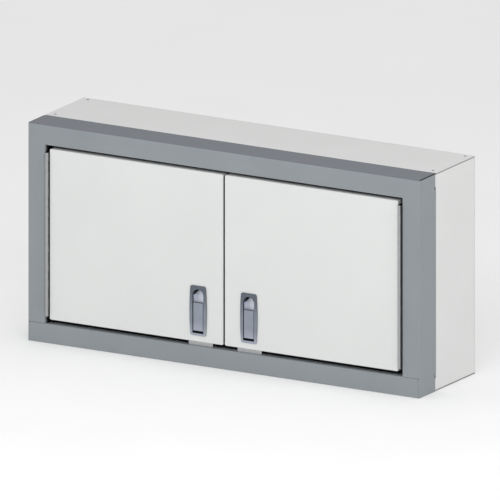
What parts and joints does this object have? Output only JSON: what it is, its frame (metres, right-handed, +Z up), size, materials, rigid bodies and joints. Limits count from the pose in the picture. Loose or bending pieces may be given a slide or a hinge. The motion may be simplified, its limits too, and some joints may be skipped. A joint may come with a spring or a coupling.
{
  "type": "hanging wall cabinet",
  "caption": "Wide hanging wall cabinet: white steel body in a grey front frame, hinged pan doors with recessed pull-paddle latches, adjustable shelf inside.",
  "frame": {"origin": "centre of the four wall-bolt holes, on the back plane that meets the wall", "axes": "+X right along the width, +Y towards the wall, +Z up"},
  "size_m": [1.2192, 0.3084, 0.6096],
  "materials": {
    "frame_paint": "mid-grey powder coat, fine orange peel",
    "body_paint": "off-white powder coat",
    "door_paint": "white powder coat",
    "hinge_steel": "satin rolled steel",
    "zinc_steel": "zinc-plated steel",
    "rivet_steel": "dark plated steel",
    "latch_metal": "satin die-cast alloy",
    "paddle_metal": "satin die-cast alloy",
    "rubber": "black rubber"
  },
  "bodies": {
    "cabinet": {"back_panel": "body_paint", "back_panel_rivets": "rivet_steel", "bottom_panel": "body_paint", "bottom_panel_rivets": "rivet_steel", "frame_bottom_rail": "frame_paint", "frame_corner_gussets": "frame_paint", "frame_rivets": "frame_paint", "frame_stile_left": "frame_paint", "frame_stile_right": "frame_paint", "frame_stops": "frame_paint", "frame_top_rail": "frame_paint", "hanging_rail_lower": "body_paint", "hanging_rail_upper": "body_paint", "hinge_left_frame_leaf": "hinge_steel", "hinge_left_frame_rivets": "hinge_steel", "hinge_left_pin": "hinge_steel", "hinge_right_frame_leaf": "hinge_steel", "hinge_right_frame_rivets": "hinge_steel", "hinge_right_pin": "hinge_steel", "opening_seal": "rubber", "shelf": "body_paint", "shelf_clips": "zinc_steel", "shelf_pilasters": "zinc_steel", "side_panel_left": "body_paint", "side_panel_right": "body_paint", "strike_left": "zinc_steel", "strike_right": "zinc_steel", "strike_screws": "zinc_steel", "top_panel": "body_paint", "top_panel_rivets": "rivet_steel"},
    "door_right": {"door_right_edge_seal": "rubber", "door_right_liner": "door_paint", "door_right_skin": "door_paint", "door_right_stiffener": "door_paint", "hinge_right_door_leaf": "hinge_steel", "hinge_right_door_rivets": "hinge_steel", "latch_right_bolt_guide": "zinc_steel", "latch_right_clamp": "zinc_steel", "latch_right_gasket": "rubber", "latch_right_housing": "latch_metal", "latch_right_pivot_pin": "zinc_steel", "latch_right_screws": "zinc_steel", "latch_right_spring": "zinc_steel"},
    "door_left": {"door_left_edge_seal": "rubber", "door_left_liner": "door_paint", "door_left_skin": "door_paint", "door_left_stiffener": "door_paint", "hinge_left_door_leaf": "hinge_steel", "hinge_left_door_rivets": "hinge_steel", "latch_left_bolt_guide": "zinc_steel", "latch_left_clamp": "zinc_steel", "latch_left_gasket": "rubber", "latch_left_housing": "latch_metal", "latch_left_pivot_pin": "zinc_steel", "latch_left_screws": "zinc_steel", "latch_left_spring": "zinc_steel"},
    "paddle_right": {"latch_right_paddle": "paddle_metal"},
    "paddle_left": {"latch_left_paddle": "paddle_metal"},
    "bolt_right": {"latch_right_bolt": "zinc_steel"},
    "bolt_left": {"latch_left_bolt": "zinc_steel"}
  },
  "joints": [
    {"name": "door_right_hinge", "type": "hinge", "parent": "cabinet", "child": "door_right", "pos_m": [0.5494, -0.304, 0], "axis": [0, 0, 1], "range_deg": [0, 175]},
    {"name": "paddle_right_pull", "type": "hinge", "parent": "door_right", "child": "paddle_right", "pos_m": [0.079, -0.294, -0.2008], "axis": [1, 0, 0], "range_deg": [0, 60], "stiffness_Nm_per_rad": 0.05, "springref_deg": -28.65},
    {"name": "bolt_right_slide", "type": "slide", "parent": "door_right", "child": "bolt_right", "axis": [0, 0, 1], "range_m": [0, 0.0121], "deforming": ["latch_right_spring"]},
    {"name": "door_left_hinge", "type": "hinge", "parent": "cabinet", "child": "door_left", "pos_m": [-0.5494, -0.304, 0], "axis": [0, 0, 1], "range_deg": [-175, 0]},
    {"name": "paddle_left_pull", "type": "hinge", "parent": "door_left", "child": "paddle_left", "pos_m": [-0.079, -0.294, -0.2008], "axis": [1, 0, 0], "range_deg": [0, 60], "stiffness_Nm_per_rad": 0.05, "springref_deg": -28.65},
    {"name": "bolt_left_slide", "type": "slide", "parent": "door_left", "child": "bolt_left", "axis": [0, 0, 1], "range_m": [0, 0.0121], "deforming": ["latch_left_spring"]}
  ],
  "couplings": [
    {"joint": "bolt_right_slide", "follows": "paddle_right_pull", "m_per_rad": 0.011459},
    {"joint": "bolt_left_slide", "follows": "paddle_left_pull", "m_per_rad": 0.011459}
  ]
}
